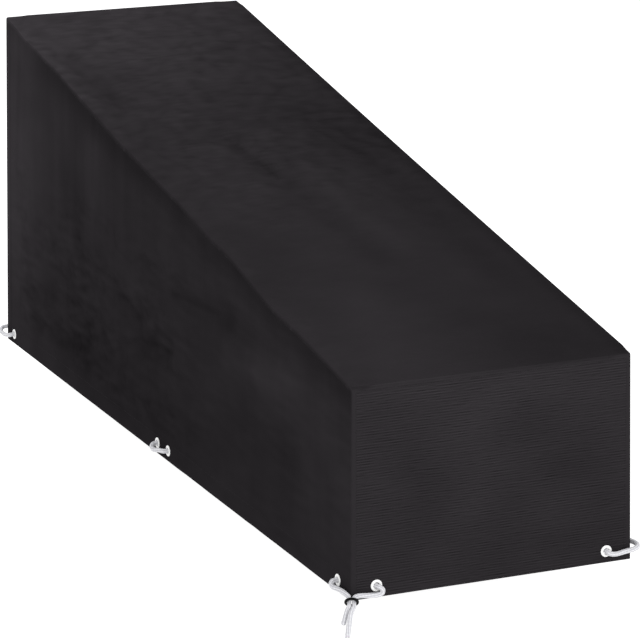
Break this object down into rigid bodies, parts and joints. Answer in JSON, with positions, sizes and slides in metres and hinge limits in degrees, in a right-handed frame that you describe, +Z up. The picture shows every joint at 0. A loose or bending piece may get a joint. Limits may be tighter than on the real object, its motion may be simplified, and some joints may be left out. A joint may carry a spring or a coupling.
{
  "type": "lounge chair cover",
  "caption": "Fitted cloth cover for a reclining lounger: one straight slope from a tall back to a low front, upright walls, and a cord through eyelets along the hem.",
  "frame": {"origin": "underside of the top panel at the middle of the cover's length and width, where the furniture under it holds it up", "axes": "+Y along the length towards the tall back, +X to the right as seen from the low front, +Z up; the hem is 0.616 m below the origin"},
  "size_m": [0.6642, 2.1115, 0.8756],
  "materials": {
    "cloth": "black coated woven sheet with faint ribs, slightly sheeny",
    "eyelet": "white, smooth",
    "cord": "white soft braided rope, matt",
    "ring": "black, smooth"
  },
  "bodies": {
    "root": {"top_panel": "cloth", "front_panel": "cloth", "back_panel": "cloth", "left_panel": "cloth", "right_panel": "cloth", "eyelet_front_left": "eyelet", "eyelet_front_right": "eyelet", "eyelet_right_front": "eyelet", "eyelet_right_mid_front": "eyelet", "eyelet_right_mid_back": "eyelet", "eyelet_right_back": "eyelet", "eyelet_back_right": "eyelet", "eyelet_back_left": "eyelet", "eyelet_left_back": "eyelet", "eyelet_left_mid_back": "eyelet", "eyelet_left_mid_front": "eyelet", "eyelet_left_front": "eyelet", "cord_ring": "ring", "draw_cord": "cord"}
  },
  "joints": []
}
